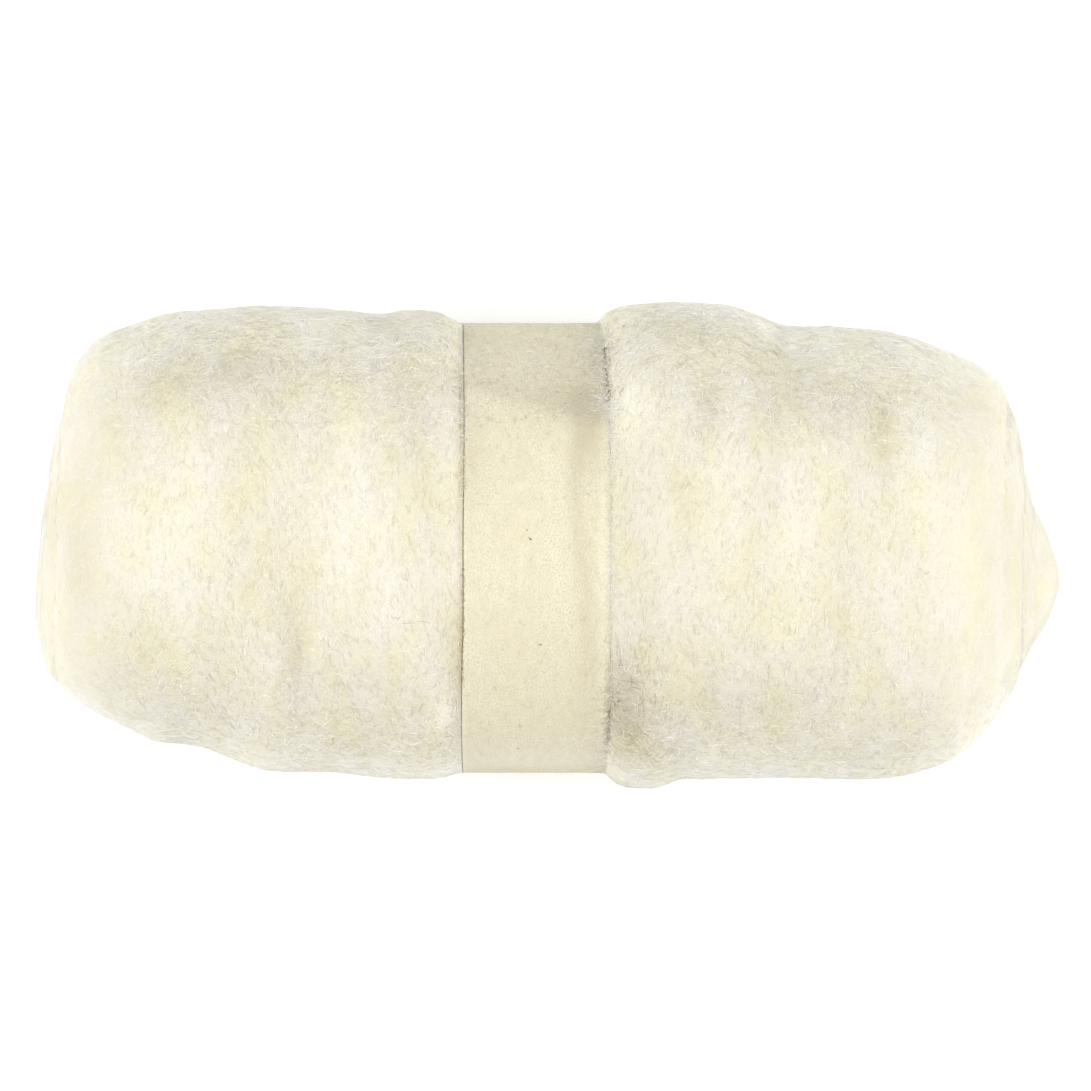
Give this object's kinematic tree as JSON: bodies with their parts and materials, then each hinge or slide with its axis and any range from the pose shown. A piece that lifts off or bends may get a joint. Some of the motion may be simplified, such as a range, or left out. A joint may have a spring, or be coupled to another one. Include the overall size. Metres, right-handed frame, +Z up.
{
  "type": "wool roving roll",
  "caption": "Roll of cream carded wool roving, held round its middle by a plain paper band, lying on its flat spot.",
  "frame": {"origin": "on the surface that the roll lies on, under the middle of its bounding box", "axes": "+X along the roll, from its slanted end to the end whose core stands out; +Y to its back; +Z up, away from the flat spot"},
  "size_m": [0.2409, 0.1144, 0.1008],
  "materials": {
    "wool": "natural cream wool, fluffy carded fibres, matt with a soft sheen",
    "band_paper": "uncoated cream paper with a fine sandy fleck, matt"
  },
  "bodies": {
    "root": {"wool_roll": "wool", "band": "band_paper"}
  },
  "joints": []
}
